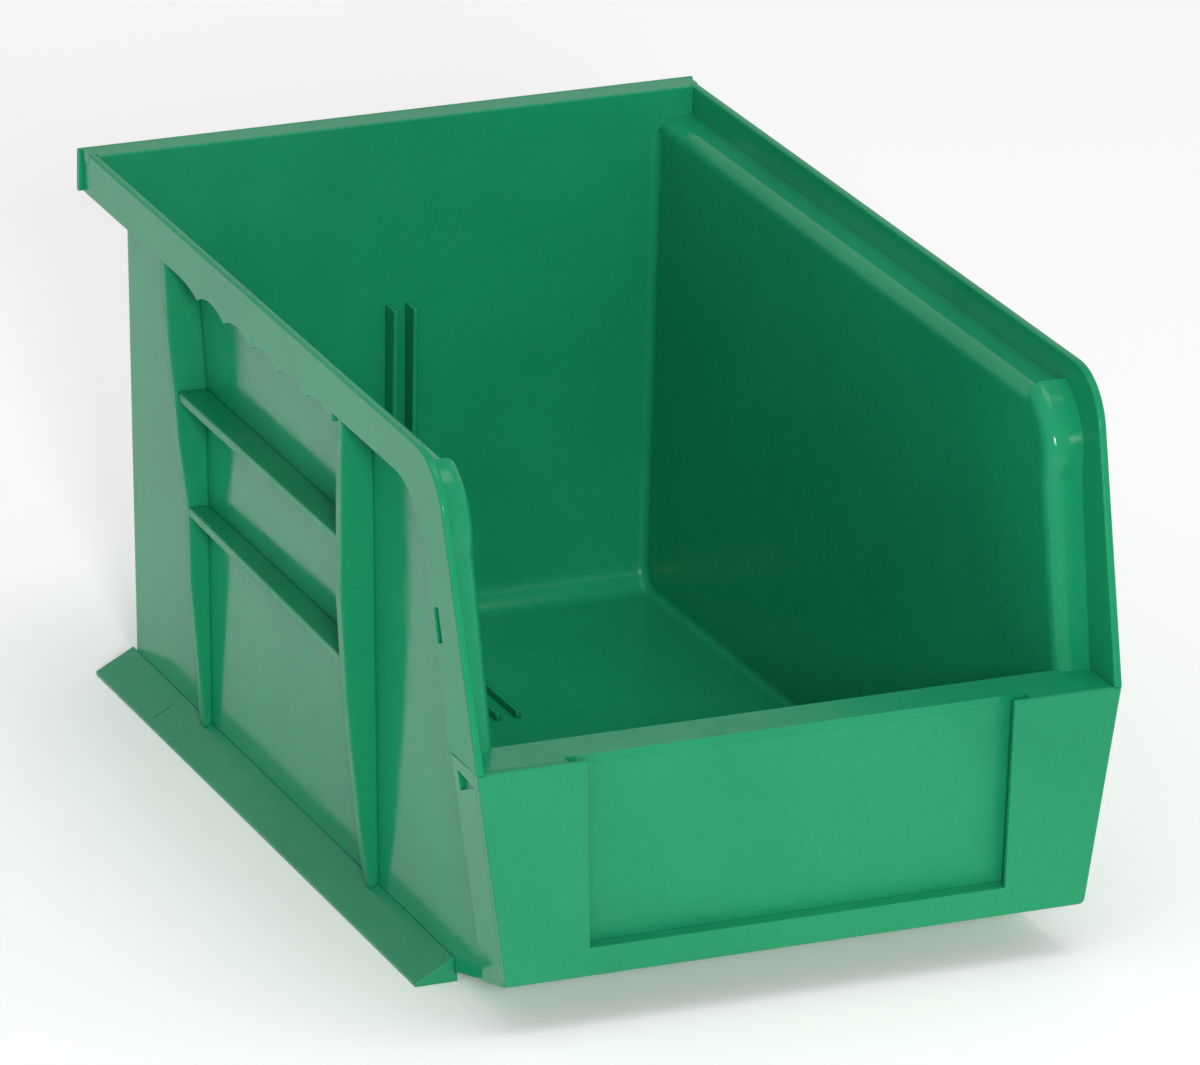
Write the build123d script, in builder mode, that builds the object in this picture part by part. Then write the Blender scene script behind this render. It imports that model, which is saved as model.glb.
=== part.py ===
"""Hopper-front storage bin, moulded in one piece from polypropylene.

Frame: millimetres, +Z up, +X to the right seen from the front, -Y towards the front.
The origin is on the ground under the middle of the bounding box.
The moulding is laid out as its moulded members; they meet face to face.
"""
import os
from math import cos, hypot, radians, sin

from build123d import *

os.makedirs("parts", exist_ok=True)

# overall size
length = 235.0
height = 123.0
back_y = length / 2
front_y = -length / 2
reach = 200.0  # longer than any edge of the bin, for cutting tools

# tub: the half width grows towards the rim (draft) and towards the front (taper)
wall = 2.0
floor_under_z = 1.9
floor_top_z = 4.3
wall_foot_z = 5.6
wall_foot_x = 62.9
wall_draft = 0.022
wall_taper = 0.0098
tub_top_z = 113.0
back_outer_y = back_y - 7.0
back_inner_y = back_outer_y - wall
back_lean = 1.6  # the inside of the back wall is this much further back at its top
rim_wall = 1.6
rim_inner_y = back_inner_y + back_lean
rim_outer_y = rim_inner_y + rim_wall
floor_fillet = 6.0
corner_fillet = 2.0
outer_corner_fillet = 3.0
slope_start_y = -83.5
slope_rate = 0.27
front_inner_y = -103.4
front_outer_y = front_inner_y - wall

# rim
ledge_top_z = height - 6.7
ledge_under_z = ledge_top_z - 2.1
ledge_round = 3.3
ledge_front_y = -84.5
lip = 1.8
lip_top_x = 73.3
lip_draft = 0.042
lip_taper = 0.0135
lip_under_z = 113.1
lip_corner_y = -98.5
lip_corner_round = 15.0
lip_edge_round = 0.5
first_scallop_run = 10.5  # the rearmost scallop is short and flat
lip_sweep_rear_y = -75.0  # here the lower edge of the lip starts to sweep down the front
lip_sweep_arc_point = (-86.6, 108.2)
lip_sweep_end = (-92.0, 97.0)
lip_foot_rear_y = -101.0
lip_slot_outline = ((-95.3, 89.5), (-97.6, 90.3), (-99.6, 83.0), (-97.0, 82.1))
lip_slot_middle = (86.0, -97.5)  # height, depth
cheek_pocket_outline = ((-105.8, 57.0), (-114.9, 56.1), (-105.8, 52.2))
cheek_pocket_middle_z = 55.0
pocket_depth = 1.2
rail_edge_round = 0.4
hang_lip_round = 0.7
rear_rim_under_z = height - 2.1
hang_lip_x = 74.0
hang_lip_inner_y = back_y - 1.6
end_plate_back_y = hang_lip_inner_y
hang_lip_under_z = height - 9.9

# front box
shelf_z = 59.7
shelf_under_z = shelf_z - 2.0
flange_foot_y = -105.3
flange_bend_z = 99.5
flange_rise = 0.249
flange = 2.1
flange_top_z = 118.0
flange_round = 3.3
flange_arc_point = (-92.1, 112.2)
flange_back_y = -88.4
flange_back_arc_point = (-91.7, 107.6)
panel_top_x = 73.8
panel_foot_x = 66.5
panel_foot_z = 11.1
panel = 2.0
panel_corner_round = 1.4
panel_edge_round = 0.7
recess_top_x = 48.8
recess_foot_x = 47.7
recess_foot_z = 17.6
recess_face_y = front_y + 3.9
recess_wall = 1.6
frame_skin = 1.2
card_slot_x = 52.8
cheek = 2.0

# outside ribs and feet
rear_gusset_y = (60.0, 62.8)
front_gusset_y = (-41.0, -38.0)
shelf_rib = 2.0
upper_rib_z = 84.5
lower_rib_z = 57.2
scallops = 5
scallop_rise = 2.1
scallop_drop = 1.9
first_cusp_y = 44.0
gusset_lean_y = 4.5  # the rear gusset leans back by this much between its bend and the lip
gusset_bend_z = 85.0
# outer edges of the gussets from the foot up to the lip, as half width and height
rear_gusset_edge = (
    (65.2, 3.0),
    (68.7, 40.0),
    (69.2, 56.3),
    (71.7, 73.2),
    (73.0, 88.0),
    (73.5, 97.0),
    (73.5, ledge_under_z),
)
front_gusset_edge = (
    (66.4, 3.8),
    (68.5, 16.2),
    (70.7, 34.9),
    (72.2, 48.8),
    (73.1, 62.6),
    (73.7, 72.0),
    (73.9, 94.0),
    (73.9, ledge_under_z),
)
foot_tip_x = 71.8
foot_tip_z = 0.8
foot_inner_x = 62.2
foot_front_y = -84.9
foot_groove_y = 77.5

# divider guides
guide_gap = 1.8
guide = 1.2
guide_depth = 4.0
guide_top_z = 80.0
floor_guide_height = 1.6
floor_guide_front_y = 42.0

# seams between the members
wall_seam_x = 50.0
back_seam_y = 97.0

# planes safely inside the right-hand wall, and how far cuts run outward from them
inside_wall_x = 55.0
inside_rim_x = 60.0
outward = 40.0
corner_rear_y = -70.0  # rear end of the block used to round the front corner


def outer_x(z, y):
    """Half width of the tub outside at height z and depth y."""
    return wall_foot_x + wall_draft * (z - wall_foot_z) + wall_taper * (back_y - y)


def inner_x(z, y):
    """Half width of the tub inside at height z and depth y."""
    return outer_x(z, y) - wall


def lip_x(z, y):
    """Half width of the outer face of the rim lip at height z and depth y."""
    return lip_top_x - lip_draft * (height - z) + lip_taper * (back_y - y)


def slope_z(y):
    """Height of the raised underside near the front."""
    return floor_under_z + slope_rate * max(0.0, slope_start_y - y)


def flange_y(z):
    """Front face of the straight part of the front flange."""
    return flange_foot_y + flange_rise * (z - shelf_z)


def slanted_prism(outline, rear_y, end_y, taper):
    """Prism from the outline (x, z) at rear_y forward to end_y, drifting sideways by the taper."""
    with BuildPart() as prism:
        with BuildSketch(Plane.XZ.offset(-rear_y)):
            with BuildLine():
                Polyline(*outline, close=True)
            make_face()
        extrude(amount=(rear_y - end_y) * hypot(1, taper), dir=(taper, -1, 0))
    return prism.part


def within_both_walls(half_width, low_z, top_z, rear_y, end_y):
    """Block between the left and right planes given by half_width(z, y)."""
    outline = (
        (-reach, low_z),
        (half_width(low_z, rear_y), low_z),
        (half_width(top_z, rear_y), top_z),
        (-reach, top_z),
    )
    right_side = slanted_prism(outline, rear_y, end_y, wall_taper)
    left_side = mirror(right_side, about=Plane.YZ)
    with BuildPart() as block:
        add(right_side)
        add(left_side, mode=Mode.INTERSECT)
    return block.part


right_hand = {}

# ---------------------------------------------------------------- tub
cavity_top_z = 140.0
cavity_top_y = back_inner_y + back_lean * (cavity_top_z - floor_top_z) / (tub_top_z - floor_top_z)
floor_lift = floor_top_z - floor_under_z


def is_upright_rear_edge(edge):
    """True for the two long upright edges at the rear corners of the tub."""
    return edge.center().Y > back_inner_y - 1 and abs(edge.center().X) > 50 and edge.length > 50


cavity_block = within_both_walls(inner_x, floor_top_z, cavity_top_z, back_y, -reach)
with BuildPart() as cavity:
    add(cavity_block)
    with BuildSketch(Plane.YZ.offset(-reach / 2)):
        with BuildLine():
            Polyline(
                (back_inner_y, floor_top_z),
                (cavity_top_y, cavity_top_z),
                (-reach, cavity_top_z),
                (-reach, shelf_under_z),
                (front_inner_y, shelf_under_z),
                (front_inner_y, slope_z(front_inner_y) + floor_lift),
                (slope_start_y, floor_top_z),
                close=True,
            )
        make_face()
    extrude(amount=reach, mode=Mode.INTERSECT)
    floor_edges = edges().filter_by_position(Axis.Z, floor_top_z - 0.1, floor_top_z + 0.1)
    fillet(floor_edges.sort_by(Axis.Y)[-1:], radius=floor_fillet)
    # the smaller fillet runs along each side of the floor and on up the rear corner
    floor_edges = edges().filter_by_position(Axis.Z, floor_top_z - 0.1, floor_top_z + 0.1)
    fillet(floor_edges.filter_by(lambda edge: abs(edge.center().X) > 50), radius=corner_fillet)

tub_block = within_both_walls(outer_x, floor_under_z, tub_top_z, back_y, -reach)
flange_bend_y = flange_y(flange_bend_z)
with BuildPart() as tub:
    add(tub_block)
    with BuildSketch(Plane.YZ.offset(-reach / 2)):
        with BuildLine():
            Line((rim_outer_y, tub_top_z), (flange_back_y, tub_top_z))
            ThreePointArc(
                (flange_back_y, tub_top_z),
                flange_back_arc_point,
                (flange_bend_y + flange, flange_bend_z),
            )
            Polyline(
                (flange_bend_y + flange, flange_bend_z),
                (flange_foot_y + flange, shelf_z),
                (flange_foot_y + flange, shelf_under_z),
                (front_outer_y, shelf_under_z),
                (front_outer_y, slope_z(front_outer_y)),
                (slope_start_y, floor_under_z),
                (back_outer_y, floor_under_z),
                (rim_outer_y, tub_top_z),
            )
        make_face()
    extrude(amount=reach, mode=Mode.INTERSECT)
    fillet(edges().filter_by(is_upright_rear_edge), radius=outer_corner_fillet)
    add(cavity.part, mode=Mode.SUBTRACT)

with BuildPart() as back_wall:
    add(tub.part)
    with Locations((0, (back_seam_y + reach) / 2, 0)):
        Box(reach, reach - back_seam_y, 2 * reach, mode=Mode.INTERSECT)

with BuildPart() as floor_panel:
    add(tub.part)
    with Locations((0, (back_seam_y + slope_start_y) / 2, 0)):
        Box(2 * wall_seam_x, back_seam_y - slope_start_y, 2 * reach, mode=Mode.INTERSECT)

with BuildPart() as floor_ramp:
    add(tub.part)
    with Locations((0, (slope_start_y + front_inner_y) / 2, 0)):
        Box(2 * wall_seam_x, slope_start_y - front_inner_y, 2 * reach, mode=Mode.INTERSECT)

with BuildPart() as front_inner_wall:
    add(tub.part)
    with Locations((0, front_inner_y - reach / 2, 0)):
        Box(2 * wall_seam_x, reach, 2 * reach, mode=Mode.INTERSECT)

# ---------------------------------------------------------------- rim ledge, lip, flange
# the slab between the drafted outer and inner faces of the lip
lip_outline = (
    (lip_x(0, reach), 0),
    (lip_x(height, reach), height),
    (lip_x(height, reach) - lip, height),
    (lip_x(0, reach) - lip, 0),
)
lip_slab = slanted_prism(lip_outline, reach, -reach, lip_taper)
# everything inside the inner face of the lip, past the middle of the bin
past_middle_x = -20.0
inside_lip_outline = (
    (lip_x(0, reach) - lip, 0),
    (lip_x(cavity_top_z, reach) - lip, cavity_top_z),
    (past_middle_x, cavity_top_z),
    (past_middle_x, 0),
)
inside_lip = slanted_prism(inside_lip_outline, reach, -reach, lip_taper)
# everything outside a drafted wall face on the right-hand side
outside_inner_outline = (
    (inner_x(0, reach), 0),
    (inner_x(cavity_top_z, reach), cavity_top_z),
    (reach, cavity_top_z),
    (reach, 0),
)
outside_inner = slanted_prism(outside_inner_outline, reach, -reach, wall_taper)
outside_outer_outline = (
    (outer_x(0, reach), 0),
    (outer_x(cavity_top_z, reach), cavity_top_z),
    (reach, cavity_top_z),
    (reach, 0),
)
outside_outer = slanted_prism(outside_outer_outline, reach, -reach, wall_taper)

scallop_pitch = (first_cusp_y - front_gusset_y[1]) / scallops
cusp_z = lip_under_z - scallop_drop
with BuildPart() as rim_lip:
    with BuildSketch(Plane.YZ.offset(inside_rim_x)):
        with BuildLine():
            Polyline(
                (rim_outer_y, height),
                (rim_outer_y, rear_rim_under_z),
                (end_plate_back_y, rear_rim_under_z),
                (end_plate_back_y, lip_under_z),
                (first_cusp_y + first_scallop_run, lip_under_z),
            )
            ThreePointArc(
                (first_cusp_y + first_scallop_run, lip_under_z),
                (first_cusp_y + 0.44 * first_scallop_run, lip_under_z - 0.37 * scallop_drop),
                (first_cusp_y, cusp_z),
            )
            for count in range(scallops):
                start_y = first_cusp_y - count * scallop_pitch
                ThreePointArc(
                    (start_y, cusp_z),
                    (start_y - scallop_pitch / 2, cusp_z + scallop_rise),
                    (start_y - scallop_pitch, cusp_z),
                )
            Line((front_gusset_y[1], cusp_z), (front_gusset_y[1], lip_under_z))
            Line((front_gusset_y[1], lip_under_z), (lip_sweep_rear_y, lip_under_z))
            ThreePointArc((lip_sweep_rear_y, lip_under_z), lip_sweep_arc_point, lip_sweep_end)
            Polyline(
                lip_sweep_end,
                (lip_foot_rear_y, shelf_z),
                (front_y, shelf_z),
                (lip_corner_y, height),
                (rim_outer_y, height),
            )
        make_face()
        top_corner = vertices().filter_by(
            lambda vertex: abs(vertex.Y - height) < 0.1 and vertex.X < 0
        )
        fillet(top_corner, radius=lip_corner_round)
    extrude(amount=outward)
    add(lip_slab, mode=Mode.INTERSECT)
    # blind slot in the rear margin of the front lip
    with BuildSketch(Plane.YZ.offset(lip_x(*lip_slot_middle) - pocket_depth)):
        with BuildLine():
            Polyline(*lip_slot_outline, close=True)
        make_face()
    extrude(amount=outward, mode=Mode.SUBTRACT)
    # soft edges along the top and down the front
    outer_edges = edges().filter_by(
        lambda edge: edge.center().Z > shelf_z + 10
        and (abs(edge.center().Z - height) < 1 or edge.center().Y < -98.0)
        and edge.length > 10
    )
    fillet(outer_edges, radius=lip_edge_round)
right_hand["rim_lip"] = rim_lip.part

with BuildPart() as rim_ledge:
    bend_x = inner_x(tub_top_z, rim_inner_y)
    root_x = outer_x(tub_top_z, rim_inner_y)
    with BuildSketch(Plane.XZ.offset(-rim_inner_y)):
        with BuildLine():
            Line((root_x, tub_top_z), (bend_x, tub_top_z))
            ThreePointArc(
                (bend_x, tub_top_z),
                (
                    bend_x + ledge_round * (1 - cos(radians(45))),
                    tub_top_z + ledge_round * sin(radians(45)),
                ),
                (bend_x + ledge_round, ledge_top_z),
            )
            Polyline(
                (bend_x + ledge_round, ledge_top_z),
                (lip_top_x + 5, ledge_top_z),
                (lip_top_x + 5, ledge_under_z),
                (root_x + 1.2, ledge_under_z),
            )
            ThreePointArc(
                (root_x + 1.2, ledge_under_z),
                (root_x + 0.35, tub_top_z + 0.85),
                (root_x, tub_top_z),
            )
        make_face()
    extrude(amount=(rim_inner_y - ledge_front_y) * hypot(1, wall_taper), dir=(wall_taper, -1, 0))
    add(inside_lip, mode=Mode.INTERSECT)
right_hand["rim_ledge"] = rim_ledge.part


# the sharp corner between the inner wall and the front flange, and the same corner rounded
with BuildPart() as sharp_corner:
    with BuildSketch(Plane.YZ.offset(inside_wall_x)):
        with BuildLine():
            Line((corner_rear_y, shelf_z), (corner_rear_y, flange_top_z))
            Line((corner_rear_y, flange_top_z), (ledge_front_y, flange_top_z))
            ThreePointArc((ledge_front_y, flange_top_z), flange_arc_point, (flange_bend_y, flange_bend_z))
            Polyline(
                (flange_bend_y, flange_bend_z),
                (flange_foot_y, shelf_z),
                (corner_rear_y, shelf_z),
            )
        make_face()
    extrude(amount=outward)
    add(outside_inner, mode=Mode.INTERSECT)
with BuildPart() as rounded_corner:
    add(sharp_corner.part)
    front_edges = edges().filter_by(
        lambda edge: edge.center().X < 68 and edge.center().Y < -86 and edge.center().Z > shelf_z + 5
    )
    fillet(front_edges, radius=flange_round)
corner_sliver = sharp_corner.part - rounded_corner.part

with BuildPart() as front_flange:
    with BuildSketch(Plane.YZ.offset(inside_wall_x)):
        with BuildLine():
            Polyline((flange_back_y, tub_top_z), (ledge_front_y, tub_top_z), (ledge_front_y, flange_top_z))
            ThreePointArc((ledge_front_y, flange_top_z), flange_arc_point, (flange_bend_y, flange_bend_z))
            Polyline(
                (flange_bend_y, flange_bend_z),
                (flange_foot_y, shelf_z),
                (flange_foot_y + flange, shelf_z),
                (flange_bend_y + flange, flange_bend_z),
            )
            ThreePointArc(
                (flange_bend_y + flange, flange_bend_z),
                flange_back_arc_point,
                (flange_back_y, tub_top_z),
            )
        make_face()
    extrude(amount=outward)
    add(outside_inner, mode=Mode.INTERSECT)
    add(inside_lip, mode=Mode.INTERSECT)
    add(tub.part, mode=Mode.SUBTRACT)
    add(rim_ledge.part, mode=Mode.SUBTRACT)
    add(corner_sliver, mode=Mode.SUBTRACT)
right_hand["front_flange"] = front_flange.part

with BuildPart() as side_wall:
    add(tub.part)
    with Locations((wall_seam_x + reach / 2, back_seam_y - reach, 0)):
        Box(reach, 2 * reach, 2 * reach, mode=Mode.INTERSECT)
    add(corner_sliver, mode=Mode.SUBTRACT)
right_hand["side_wall"] = side_wall.part

inside_left_lip = mirror(inside_lip, about=Plane.YZ)
with BuildPart() as inside_both_lips:
    add(inside_lip)
    add(inside_left_lip)
with BuildPart() as rear_rim_rail:
    with BuildSketch(Plane.XZ.offset(-rim_outer_y)):
        with BuildLine():
            root_x = outer_x(tub_top_z, rim_outer_y)
            Polyline(
                (-root_x, tub_top_z),
                (root_x, tub_top_z),
                (root_x, ledge_under_z),
                (lip_top_x, ledge_under_z),
                (lip_top_x, height),
                (-lip_top_x, height),
                (-lip_top_x, ledge_under_z),
                (-root_x, ledge_under_z),
                close=True,
            )
        make_face()
    extrude(amount=rim_wall)
    add(inside_both_lips.part, mode=Mode.INTERSECT)
    rail_edge = edges().filter_by_position(Axis.Z, height - 0.01, height + 0.01).sort_by(Axis.Y)[:1]
    fillet(rail_edge, radius=rail_edge_round)

with BuildPart() as rear_rim_flange:
    with Locations((0, (rim_outer_y + hang_lip_inner_y) / 2, (rear_rim_under_z + height) / 2)):
        Box(2 * lip_x(height, rim_outer_y), hang_lip_inner_y - rim_outer_y, height - rear_rim_under_z)

with BuildPart() as hang_lip:
    with Locations((0, (hang_lip_inner_y + back_y) / 2, (hang_lip_under_z + height) / 2)):
        Box(2 * hang_lip_x, back_y - hang_lip_inner_y, height - hang_lip_under_z)
    lower_edges = edges().filter_by(Axis.X).sort_by(Axis.Z)[:2]
    fillet(lower_edges, radius=hang_lip_round)
    upper_edge = edges().filter_by(Axis.X).filter_by_position(Axis.Y, back_y - 0.01, back_y + 0.01)
    fillet(upper_edge.sort_by(Axis.Z)[-1:], radius=hang_lip_round)

# ---------------------------------------------------------------- front box
shelf_inner_x = inner_x(shelf_z, flange_foot_y)
shelf_outer_x = panel_top_x - cheek
with BuildPart() as front_shelf:
    with BuildSketch(Plane.XY.offset(shelf_under_z)):
        with BuildLine():
            Polyline(
                (-shelf_inner_x, front_inner_y),
                (shelf_inner_x, front_inner_y),
                (shelf_inner_x, flange_foot_y + flange),
                (shelf_outer_x, flange_foot_y + flange),
                (shelf_outer_x, front_y + panel),
                (-shelf_outer_x, front_y + panel),
                (-shelf_outer_x, flange_foot_y + flange),
                (-shelf_inner_x, flange_foot_y + flange),
                close=True,
            )
        make_face()
    extrude(amount=shelf_z - shelf_under_z)
    with Locations((0, front_y, shelf_z)):
        Box(2 * card_slot_x, 2 * (recess_face_y - front_y), 10, mode=Mode.SUBTRACT)
    add(tub.part, mode=Mode.SUBTRACT)

with BuildPart() as front_panel:
    with BuildSketch(Plane.XZ.offset(-front_y - panel)):
        with BuildLine():
            Polyline(
                (-panel_foot_x, panel_foot_z),
                (panel_foot_x, panel_foot_z),
                (panel_top_x, shelf_z),
                (-panel_top_x, shelf_z),
                close=True,
            )
        make_face()
        fillet(vertices().group_by(Axis.Y)[0], radius=panel_corner_round)
    extrude(amount=panel)
    rim_edges = faces().sort_by(Axis.Y)[0].edges()
    fillet(rim_edges, radius=panel_edge_round)
    with BuildSketch(Plane.XZ.offset(-front_y - 10)):
        with BuildLine():
            Polyline(
                (-recess_foot_x, recess_foot_z),
                (recess_foot_x, recess_foot_z),
                (recess_top_x, shelf_z),
                (recess_top_x, shelf_z + 10),
                (-recess_top_x, shelf_z + 10),
                (-recess_top_x, shelf_z),
                close=True,
            )
        make_face()
    extrude(amount=20, mode=Mode.SUBTRACT)
    # the frame is thinner where the label card slides in behind it
    with Locations((0, front_y + panel, (recess_foot_z + shelf_z) / 2 + 10)):
        Box(
            2 * card_slot_x,
            2 * (panel - frame_skin),
            shelf_z - recess_foot_z + 20,
            mode=Mode.SUBTRACT,
        )

recess_back_y = recess_face_y + recess_wall
with BuildPart() as label_back_plate:
    with BuildSketch(Plane.XZ.offset(-recess_back_y)):
        with Locations((0, (recess_foot_z - recess_wall + shelf_under_z) / 2)):
            Rectangle(2 * (card_slot_x + recess_wall), shelf_under_z - recess_foot_z + recess_wall)
    extrude(amount=recess_wall)

# U-shaped rail that joins the back plate to the front panel
with BuildPart() as label_frame_rail:
    with BuildSketch(Plane.XZ.offset(-recess_face_y)):
        with Locations((0, (recess_foot_z - recess_wall + shelf_under_z) / 2)):
            Rectangle(2 * (card_slot_x + recess_wall), shelf_under_z - recess_foot_z + recess_wall)
        with Locations((0, recess_foot_z + reach / 2)):
            Rectangle(2 * card_slot_x, reach, mode=Mode.SUBTRACT)
    extrude(amount=recess_face_y - front_y - panel)

# the plane through the slanting side edge of the front panel
side_slant = (panel_top_x - panel_foot_x) / (shelf_z - panel_foot_z)


def cheek_x(z):
    """Half width of the front box at height z."""
    return panel_top_x - side_slant * (shelf_z - z)


with BuildPart() as underside_cut:
    with BuildSketch(Plane.YZ.offset(-reach / 2)):
        with BuildLine():
            Polyline(
                (slope_start_y, floor_under_z),
                (front_y - 20, slope_z(front_y - 20)),
                (front_y - 20, -20),
                (slope_start_y, -20),
                close=True,
            )
        make_face()
    extrude(amount=reach)

with BuildPart() as front_cheek:
    with BuildSketch(Plane.XZ.offset(-front_inner_y)):
        with BuildLine():
            Polyline(
                (cheek_x(0) - cheek, 0),
                (cheek_x(0), 0),
                (cheek_x(shelf_z), shelf_z),
                (cheek_x(shelf_z) - cheek, shelf_z),
                close=True,
            )
        make_face()
    extrude(amount=front_inner_y - front_y - panel)
    # blind triangular pocket just under the lip
    with BuildSketch(Plane.YZ.offset(cheek_x(cheek_pocket_middle_z) - pocket_depth)):
        with BuildLine():
            Polyline(*cheek_pocket_outline, close=True)
        make_face()
    extrude(amount=outward, mode=Mode.SUBTRACT)
    add(underside_cut.part, mode=Mode.SUBTRACT)
    add(front_shelf.part, mode=Mode.SUBTRACT)
    add(tub.part, mode=Mode.SUBTRACT)
right_hand["front_cheek"] = front_cheek.part

# the web starts where the inside of the cheek meets the tub wall
web_foot_z = (outer_x(0, front_inner_y) - cheek_x(0) + cheek) / (side_slant - wall_draft)
with BuildPart() as cheek_web:
    with BuildSketch(Plane.XZ.offset(-front_inner_y)):
        with BuildLine():
            Polyline(
                (outer_x(web_foot_z, front_inner_y), web_foot_z),
                (cheek_x(shelf_under_z) - cheek, shelf_under_z),
                (outer_x(shelf_under_z, front_inner_y), shelf_under_z),
                close=True,
            )
        make_face()
    extrude(amount=wall)
    add(tub.part, mode=Mode.SUBTRACT)
right_hand["cheek_web"] = cheek_web.part

# ---------------------------------------------------------------- outside ribs and feet
foot_shift = wall_taper * (back_y - back_outer_y)
foot_outline = (
    (foot_inner_x + foot_shift, 0),
    (foot_tip_x + foot_shift, 0),
    (foot_tip_x + foot_shift, foot_tip_z),
    (outer_x(wall_foot_z, back_outer_y), wall_foot_z),
    (outer_x(floor_under_z, back_outer_y), floor_under_z),
    (foot_inner_x + foot_shift, floor_under_z),
)
foot_block = slanted_prism(foot_outline, back_outer_y, foot_front_y, wall_taper)
# short shallow groove across the middle of the foot's sloping face
groove_low_z = foot_tip_z + 0.8
groove_top_z = foot_tip_z + 3.2
groove_width = 0.9
groove_depth = 0.3
slope_low_x = foot_tip_x + wall_taper * (back_y - foot_groove_y)
slope_top_x = outer_x(wall_foot_z, foot_groove_y)
slope_run = (slope_low_x - slope_top_x) / (wall_foot_z - foot_tip_z)
groove_low_x = slope_low_x - slope_run * (groove_low_z - foot_tip_z)
groove_top_x = slope_low_x - slope_run * (groove_top_z - foot_tip_z)
groove_outline = (
    (groove_low_x + 1, groove_low_z),
    (groove_top_x + 1, groove_top_z),
    (groove_top_x - groove_depth, groove_top_z),
    (groove_low_x - groove_depth, groove_low_z),
)
groove_block = slanted_prism(groove_outline, foot_groove_y, foot_groove_y - groove_width, wall_taper)
with BuildPart() as foot_rail:
    add(foot_block)
    add(groove_block, mode=Mode.SUBTRACT)
    add(tub.part, mode=Mode.SUBTRACT)
right_hand["foot_rail"] = foot_rail.part

with BuildPart() as rear_gusset:
    with BuildSketch(Plane.XZ.offset(-rear_gusset_y[1] - 10)):
        with BuildLine():
            Polyline(
                (inside_rim_x, rear_gusset_edge[0][1]),
                *rear_gusset_edge,
                (inside_rim_x, ledge_under_z),
                close=True,
            )
        make_face()
    extrude(amount=20)
    # the plate stands square to the wall, then leans back below the lip
    with BuildSketch(Plane.YZ.offset(inside_wall_x)):
        with BuildLine():
            Polyline(
                (rear_gusset_y[0], 0),
                (rear_gusset_y[0], gusset_bend_z),
                (rear_gusset_y[0] + gusset_lean_y, lip_under_z),
                (rear_gusset_y[0] + gusset_lean_y, ledge_under_z),
                (rear_gusset_y[1] + gusset_lean_y, ledge_under_z),
                (rear_gusset_y[1] + gusset_lean_y, lip_under_z),
                (rear_gusset_y[1], gusset_bend_z),
                (rear_gusset_y[1], 0),
                close=True,
            )
        make_face()
    extrude(amount=outward, mode=Mode.INTERSECT)
    add(outside_outer, mode=Mode.INTERSECT)
    add(rim_ledge.part, mode=Mode.SUBTRACT)
    add(rim_lip.part, mode=Mode.SUBTRACT)
    add(foot_rail.part, mode=Mode.SUBTRACT)
right_hand["rear_gusset"] = rear_gusset.part

with BuildPart() as front_gusset:
    with BuildSketch(Plane.XZ.offset(-front_gusset_y[1])):
        with BuildLine():
            Polyline(
                (inside_rim_x, front_gusset_edge[0][1]),
                *front_gusset_edge,
                (inside_rim_x, ledge_under_z),
                close=True,
            )
        make_face()
    extrude(amount=front_gusset_y[1] - front_gusset_y[0])
    add(outside_outer, mode=Mode.INTERSECT)
    add(rim_ledge.part, mode=Mode.SUBTRACT)
    add(rim_lip.part, mode=Mode.SUBTRACT)
    add(foot_rail.part, mode=Mode.SUBTRACT)
right_hand["front_gusset"] = front_gusset.part

for rib_name, rib_z, rear_x, front_x in (
    ("upper_shelf_rib", upper_rib_z, 71.9, 72.8),
    ("lower_shelf_rib", lower_rib_z, 69.2, 72.0),
):
    with BuildPart() as shelf_bar:
        with BuildSketch(Plane.XY.offset(rib_z - shelf_rib)):
            with BuildLine():
                Polyline(
                    (inside_rim_x, rear_gusset_y[0]),
                    (rear_x, rear_gusset_y[0]),
                    (front_x, front_gusset_y[1]),
                    (inside_rim_x, front_gusset_y[1]),
                    close=True,
                )
            make_face()
        extrude(amount=shelf_rib)
        add(outside_outer, mode=Mode.INTERSECT)
    right_hand[rib_name] = shelf_bar.part

# ---------------------------------------------------------------- divider guides
with BuildPart() as wall_guide:
    with BuildSketch(Plane.XZ.offset(-rim_inner_y)):
        with Locations((guide_gap + guide / 2, (floor_top_z + guide_top_z) / 2)):
            Rectangle(guide, guide_top_z - floor_top_z)
    extrude(amount=guide_depth + back_lean)
    add(tub.part, mode=Mode.SUBTRACT)
right_hand["back_wall_guide"] = wall_guide.part

guide_rear_y = back_inner_y - guide_depth
with BuildPart() as floor_guide:
    with BuildSketch(Plane.XY.offset(floor_top_z)):
        with Locations((guide_gap + guide / 2, (guide_rear_y + floor_guide_front_y) / 2)):
            Rectangle(guide, guide_rear_y - floor_guide_front_y)
    extrude(amount=floor_guide_height)
    add(tub.part, mode=Mode.SUBTRACT)
right_hand["floor_guide"] = floor_guide.part

# ---------------------------------------------------------------- files
centre = {
    "floor_panel": floor_panel.part,
    "floor_ramp": floor_ramp.part,
    "back_wall": back_wall.part,
    "front_inner_wall": front_inner_wall.part,
    "front_shelf": front_shelf.part,
    "front_panel": front_panel.part,
    "label_back_plate": label_back_plate.part,
    "label_frame_rail": label_frame_rail.part,
    "rear_rim_rail": rear_rim_rail.part,
    "rear_rim_flange": rear_rim_flange.part,
    "hang_lip": hang_lip.part,
}
for name, solid in centre.items():
    solid.label = name
    export_step(solid, f"parts/{name}.step")
for name, solid in right_hand.items():
    solid.label = f"right_{name}"
    export_step(solid, f"parts/right_{name}.step")
    mirrored = mirror(solid, about=Plane.YZ)
    mirrored.label = f"left_{name}"
    export_step(mirrored, f"parts/left_{name}.step")
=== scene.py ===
"""Looks for the hopper-front storage bin: moulded polypropylene, studio light and the camera."""
from math import cos, radians, sin

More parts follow.
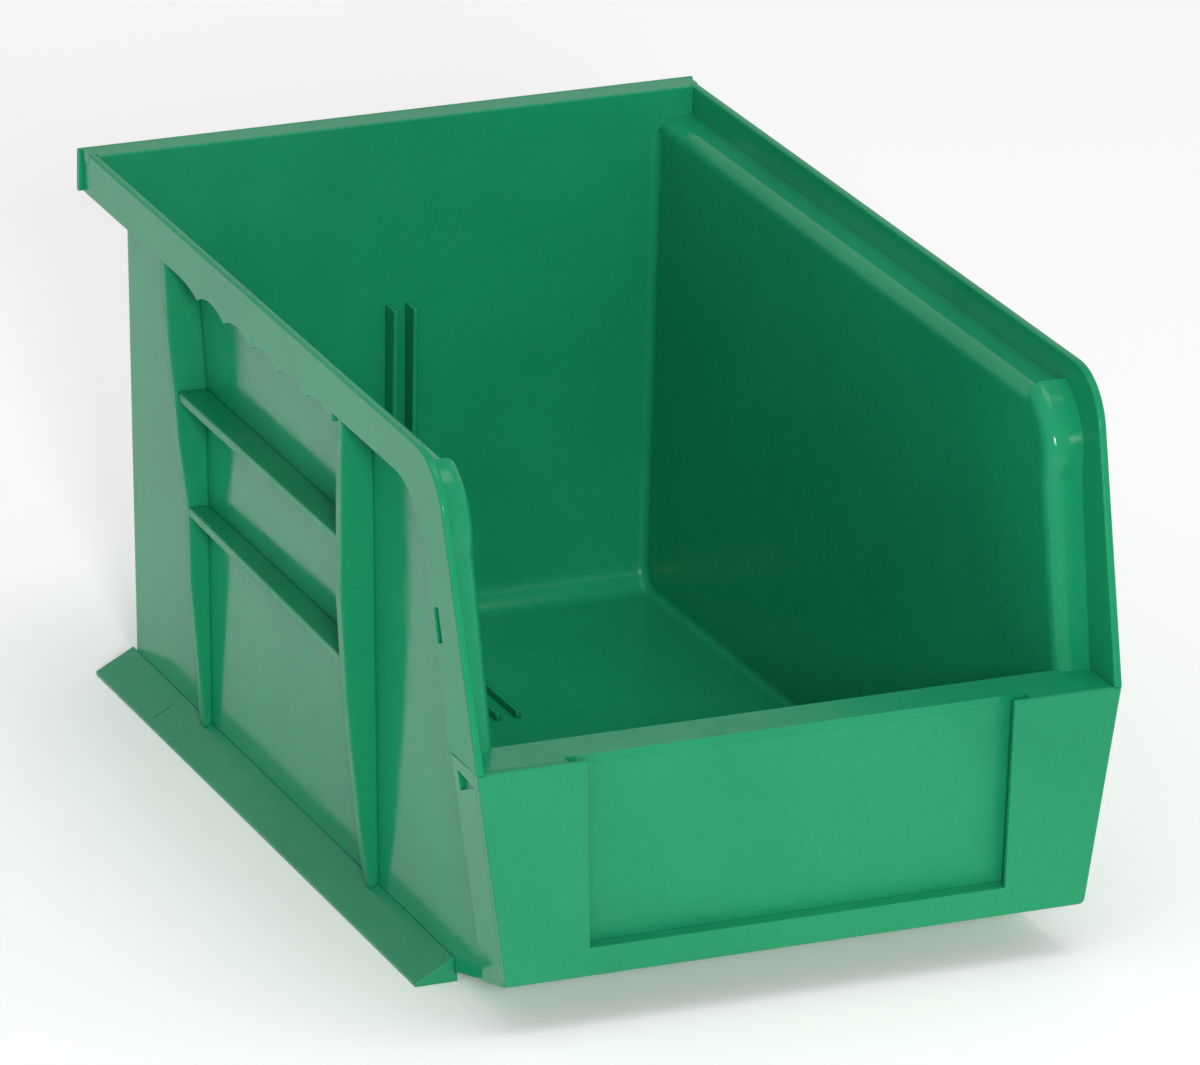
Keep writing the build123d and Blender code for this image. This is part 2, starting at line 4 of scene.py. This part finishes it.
import bpy
from mathutils import Matrix, Vector


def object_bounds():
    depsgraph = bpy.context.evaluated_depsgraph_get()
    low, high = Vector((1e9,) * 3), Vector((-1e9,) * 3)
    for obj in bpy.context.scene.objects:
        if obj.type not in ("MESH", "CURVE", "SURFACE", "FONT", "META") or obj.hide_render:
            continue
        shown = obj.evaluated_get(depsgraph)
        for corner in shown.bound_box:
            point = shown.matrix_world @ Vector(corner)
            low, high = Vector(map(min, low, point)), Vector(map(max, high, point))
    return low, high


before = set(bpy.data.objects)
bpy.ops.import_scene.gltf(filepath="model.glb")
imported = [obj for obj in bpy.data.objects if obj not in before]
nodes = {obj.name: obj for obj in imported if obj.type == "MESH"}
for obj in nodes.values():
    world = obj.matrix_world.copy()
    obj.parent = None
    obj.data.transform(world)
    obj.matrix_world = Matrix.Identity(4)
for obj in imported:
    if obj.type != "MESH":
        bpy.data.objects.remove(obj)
cad_low, cad_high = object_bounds()
height = cad_high[2] - cad_low[2]


# ------------------------------------------------------------------ node-tree helpers
class Tree:
    """A short way to add shader nodes and join them up."""

    def __init__(self, material):
        material.use_nodes = True
        self.tree = material.node_tree
        self.tree.nodes.clear()

    def add(self, kind, **settings):
        node = self.tree.nodes.new(kind)
        for key, value in settings.items():
            setattr(node, key, value)
        return node

    def feed(self, node, **inputs):
        """Joins an output socket to each named input, or sets the input's own value."""
        for key, value in inputs.items():
            socket = node.inputs[key.replace("_", " ")]
            if isinstance(value, bpy.types.NodeSocket):
                self.tree.links.new(value, socket)
            else:
                socket.default_value = value
        return node

    def noise(self, where, scale, detail=3.0, roughness=0.5):
        """Fractal noise of the object's coordinates, about 0 to 1."""
        node = self.add("ShaderNodeTexNoise")
        self.feed(node, Vector=where, Scale=scale, Detail=detail, Roughness=roughness)
        return node.outputs["Fac"]

    def stretch(self, where, scale):
        """The coordinates scaled by a different amount along each axis."""
        node = self.add("ShaderNodeMapping")
        self.feed(node, Vector=where, Scale=scale)
        return node.outputs["Vector"]

    def ramp(self, value, low, high, out_low=0.0, out_high=1.0):
        """The value from low..high turned smoothly into out_low..out_high."""
        node = self.add("ShaderNodeMapRange", interpolation_type="SMOOTHSTEP")
        self.feed(node, Value=value, From_Min=low, From_Max=high, To_Min=out_low, To_Max=out_high)
        return node.outputs["Result"]

    def maths(self, operation, first, second):
        node = self.add("ShaderNodeMath", operation=operation)
        for socket, value in zip(node.inputs, (first, second)):
            if isinstance(value, bpy.types.NodeSocket):
                self.tree.links.new(value, socket)
            else:
                socket.default_value = value
        return node.outputs["Value"]

    def dot(self, first, second):
        """The dot product of two vector sockets."""
        node = self.add("ShaderNodeVectorMath", operation="DOT_PRODUCT")
        self.tree.links.new(first, node.inputs[0])
        self.tree.links.new(second, node.inputs[1])
        return node.outputs["Value"]

    def blend(self, factor, first, second):
        """Two colours, sockets or tuples, mixed by the factor."""
        node = self.add("ShaderNodeMix", data_type="RGBA")
        for socket, value in zip((node.inputs[0], node.inputs[6], node.inputs[7]), (factor, first, second)):
            if isinstance(value, bpy.types.NodeSocket):
                self.tree.links.new(value, socket)
            else:
                socket.default_value = value
        return node.outputs[2]

    def bump(self, amount, distance, below=None):
        node = self.add("ShaderNodeBump")
        self.feed(node, Height=amount, Distance=distance, Strength=1.0)
        if below is not None:
            self.feed(node, Normal=below)
        return node.outputs["Normal"]


green = (0.008, 0.283, 0.117)
steel_grain_depth = 0.000022
polished_grain_depth = 0.000009
polished_roughness = 0.11
ripple_depth = 0.00003
middle_height = 0.06


def polypropylene(
    name, roughness, grain=1.0, scuffs=0.3, edge_radius=0.0005, shine=0.4, polished=None, edge_wear_and_highlight=0.4
):
    """Moulded green polypropylene: cloudy pigment, fine mould grain, flow marks and light scuffs.

    Polished makes some faces glossier and smoother: "outward" does it to the faces that look away from
    the middle of the bin, and "sideways" to the faces that look left or right. An edge radius of zero
    leaves the edges as they are, which suits pieces that continue each other's faces.
    """
    material = bpy.data.materials.new(name)
    t = Tree(material)
    where = t.add("ShaderNodeTexCoord").outputs["Object"]

    # pigment: broad clouds, and faint streaks where the melt flowed forward from the middle
    clouds = t.noise(where, 22.0, 4.0)
    streaks = t.noise(t.stretch(where, (60.0, 9.0, 26.0)), 1.0, 3.0)
    lighter = (*[min(1.0, c * 1.07 + 0.002) for c in green], 1.0)
    darker = (*[c * 0.93 for c in green], 1.0)
    pigment = t.blend(t.ramp(clouds, 0.3, 0.7), darker, lighter)
    pigment = t.blend(t.ramp(streaks, 0.35, 0.75, 0.0, 0.35), pigment, lighter)
    # fine darker speckle, under a millimetre across
    speckle = t.noise(where, 1500.0, 2.0, 0.7)
    deep = (*[c * 0.8 for c in green], 1.0)
    pigment = t.blend(t.ramp(speckle, 0.38, 0.62, 0.28, 0.0), pigment, deep)

    # handling: hairline scratches and rubbed patches that turn the plastic paler
    scratch_field = t.noise(t.stretch(where, (14.0, 420.0, 190.0)), 1.0, 2.0)
    rubbed = t.ramp(t.noise(where, 55.0, 5.0, 0.62), 0.55, 0.75)
    scratches = t.maths("MULTIPLY", t.ramp(scratch_field, 0.68, 0.72), rubbed)
    pale = (*[min(1.0, c * 0.75 + 0.16) for c in green], 1.0)
    pigment = t.blend(t.maths("MULTIPLY", scratches, scuffs), pigment, pale)

    # the outside was moulded against a polished cavity, the inside and the front against grained steel
    sharp = t.add("ShaderNodeNewGeometry").outputs["Normal"]
    grain_depth = steel_grain_depth * grain
    if polished:
        if polished == "outward":
            from_middle = t.add("ShaderNodeMapping")
            t.feed(from_middle, Vector=where, Location=(0.0, 0.0, -middle_height))
            glossy = t.ramp(t.dot(from_middle.outputs["Vector"], sharp), -0.004, 0.004)
        else:
            facing = t.feed(t.add("ShaderNodeSeparateXYZ"), Vector=sharp)
            glossy = t.ramp(t.maths("ABSOLUTE", facing.outputs["X"], 0.0), 0.5, 0.8)
        roughness = t.ramp(glossy, 0.0, 1.0, roughness, polished_roughness)
        grain_depth = t.ramp(glossy, 0.0, 1.0, grain_depth, polished_grain_depth)

    # surface: mould grain a third of a millimetre across, on a very slightly uneven face
    grain_field = t.noise(where, 2600.0, 2.0, 0.6)
    ripple = t.noise(where, 120.0, 2.0)
    normal = t.bump(ripple, ripple_depth)
    normal = t.bump(grain_field, grain_depth, normal)
    # rounded edges: the bevel bends the normal round, and the edges are painted paler, partly as
    # stress-whitened wear and partly as a painted highlight along the edge
    if edge_radius:
        rounded = t.feed(t.add("ShaderNodeBevel", samples=6), Radius=edge_radius, Normal=normal)
        edge = t.feed(t.add("ShaderNodeBevel", samples=6), Radius=edge_radius * 1.6)
        turned = t.dot(edge.outputs["Normal"], sharp)
        pigment = t.blend(t.ramp(turned, 0.99, 0.86, 0.0, edge_wear_and_highlight), pigment, lighter)
        normal = rounded.outputs["Normal"]

    finish = t.maths("ADD", t.ramp(t.noise(where, 160.0, 4.0), 0.3, 0.7, -0.05, 0.05), roughness)
    finish = t.maths("ADD", finish, t.maths("MULTIPLY", rubbed, 0.08))

    shader = t.add("ShaderNodeBsdfPrincipled")
    t.feed(shader, Base_Color=pigment, Roughness=finish, Normal=normal, IOR=1.49)
    shader.inputs["Specular IOR Level"].default_value = shine
    shader.inputs["Subsurface Weight"].default_value = 0.06
    shader.inputs["Subsurface Radius"].default_value = (0.25, 1.0, 0.5)
    shader.inputs["Subsurface Scale"].default_value = 0.0016
    output = t.add("ShaderNodeOutputMaterial")
    t.feed(output, Surface=shader.outputs["BSDF"])
    return material


front_finish = polypropylene("pp_front_grain", 0.42, grain=1.4, scuffs=0.35, shine=0.3, polished="sideways")
rim_finish = polypropylene("pp_rim_gloss", 0.17, grain=0.5, scuffs=0.15, shine=0.18)
tub_finish = polypropylene("pp_tub_wall", 0.29, scuffs=0.08, edge_radius=0.0, shine=0.24, polished="outward")
rib_finish = polypropylene(
    "pp_rib_satin", 0.36, grain=0.8, scuffs=0.1, edge_radius=0.0009, shine=0.3, edge_wear_and_highlight=0.2
)
foot_finish = polypropylene("pp_foot_worn", 0.34, grain=1.2, scuffs=0.45, shine=0.42)

finish_of = {
    "floor_panel": tub_finish,
    "floor_ramp": tub_finish,
    "back_wall": tub_finish,
    "front_inner_wall": tub_finish,
    "front_shelf": tub_finish,
    "front_panel": front_finish,
    "label_back_plate": front_finish,
    "label_frame_rail": front_finish,
    "rear_rim_rail": tub_finish,
    "rear_rim_flange": tub_finish,
    "hang_lip": rim_finish,
}
for side in ("left", "right"):
    for part, finish in (
        ("side_wall", tub_finish),
        ("rim_lip", rim_finish),
        ("rim_ledge", tub_finish),
        ("front_flange", tub_finish),
        ("front_cheek", tub_finish),
        ("cheek_web", tub_finish),
        ("foot_rail", foot_finish),
        ("rear_gusset", rib_finish),
        ("front_gusset", rib_finish),
        ("upper_shelf_rib", rib_finish),
        ("lower_shelf_rib", rib_finish),
        ("back_wall_guide", rib_finish),
        ("floor_guide", rib_finish),
    ):
        finish_of[f"{side}_{part}"] = finish

for name, node in nodes.items():
    node.data.materials.clear()
    node.data.materials.append(finish_of[name])


# ------------------------------------------------------------------ studio
def studio_floor():
    """A wide pale floor under the feet, faintly lit from below like a light table."""
    material = bpy.data.materials.new("studio_floor")
    t = Tree(material)
    where = t.add("ShaderNodeTexCoord").outputs["Object"]
    tone = t.blend(t.noise(where, 3.0, 2.0), (0.97, 0.97, 0.97, 1.0), (0.99, 0.99, 0.99, 1.0))
    shader = t.add("ShaderNodeBsdfPrincipled")
    t.feed(shader, Base_Color=tone, Roughness=0.85)
    shader.inputs["Emission Color"].default_value = (1.0, 1.0, 1.0, 1.0)
    shader.inputs["Emission Strength"].default_value = 0.15
    output = t.add("ShaderNodeOutputMaterial")
    t.feed(output, Surface=shader.outputs["BSDF"])
    half = 6.0
    drop = 0.0001  # just under the feet, so that the two faces don't flicker
    mesh = bpy.data.meshes.new("studio_floor")
    corners = [(x * half, y * half, -drop) for x, y in ((-1, -1), (1, -1), (1, 1), (-1, 1))]
    mesh.from_pydata(corners, [], [(0, 1, 2, 3)])
    mesh.materials.append(material)
    floor = bpy.data.objects.new("studio_floor", mesh)
    bpy.context.scene.collection.objects.link(floor)


def soft_light(name, place, target, size, power):
    """A white area light at place, aimed at the target."""
    light = bpy.data.lights.new(name, "AREA")
    light.shape = "RECTANGLE"
    light.size, light.size_y = size
    light.energy = power
    lamp = bpy.data.objects.new(name, light)
    bpy.context.scene.collection.objects.link(lamp)
    lamp.location = place
    aim = Vector(target) - Vector(place)
    lamp.rotation_euler = aim.to_track_quat("-Z", "Y").to_euler()


def studio_air(overhead, all_round):
    """Even white light from all round, fading towards the ceiling."""
    world = bpy.data.worlds.new("studio_air")
    t = Tree(world)
    direction = t.add("ShaderNodeTexCoord").outputs["Generated"]
    parts = t.add("ShaderNodeSeparateXYZ")
    t.feed(parts, Vector=direction)
    strength = t.ramp(parts.outputs["Z"], 0.15, 0.75, all_round, overhead)
    sky = t.add("ShaderNodeBackground")
    t.feed(sky, Color=(1.0, 1.0, 1.0, 1.0), Strength=strength)
    output = t.add("ShaderNodeOutputWorld")
    t.feed(output, Surface=sky.outputs["Background"])
    bpy.context.scene.world = world


studio_floor()
studio_air(0.5, 0.62)
middle = (0.0, 0.0, height / 2)
soft_light("key_front", (-0.75, -2.5, 1.0), middle, (0.36, 0.36), 33.0)
soft_light("top_soft", (0.2, -0.3, 2.2), middle, (1.2, 1.2), 11.5)

# ------------------------------------------------------------------ camera
camera_place = Vector((-0.98595, -2.30774, 0.99488))
azimuth = radians(23.204)
pitch = radians(20.367)
roll = radians(-0.945)
image_width = 1200.0
focal_pixels = 12314.0

ahead = Vector((sin(azimuth), cos(azimuth), 0.0))
level_right = Vector((cos(azimuth), -sin(azimuth), 0.0))
forward = ahead * cos(pitch) - Vector((0, 0, 1)) * sin(pitch)
level_up = ahead * sin(pitch) + Vector((0, 0, 1)) * cos(pitch)
right = level_right * cos(roll) - level_up * sin(roll)
up = level_right * sin(roll) + level_up * cos(roll)
camera_data = bpy.data.cameras.new("camera")
camera_data.sensor_width = 36.0
camera_data.lens = focal_pixels * camera_data.sensor_width / image_width
camera_data.clip_end = 50.0
camera = bpy.data.objects.new("camera", camera_data)
bpy.context.scene.collection.objects.link(camera)
camera.matrix_world = Matrix.Translation(camera_place) @ Matrix((right, up, -forward)).transposed().to_4x4()
bpy.context.scene.camera = camera

bpy.context.scene.view_settings.view_transform = "Standard"
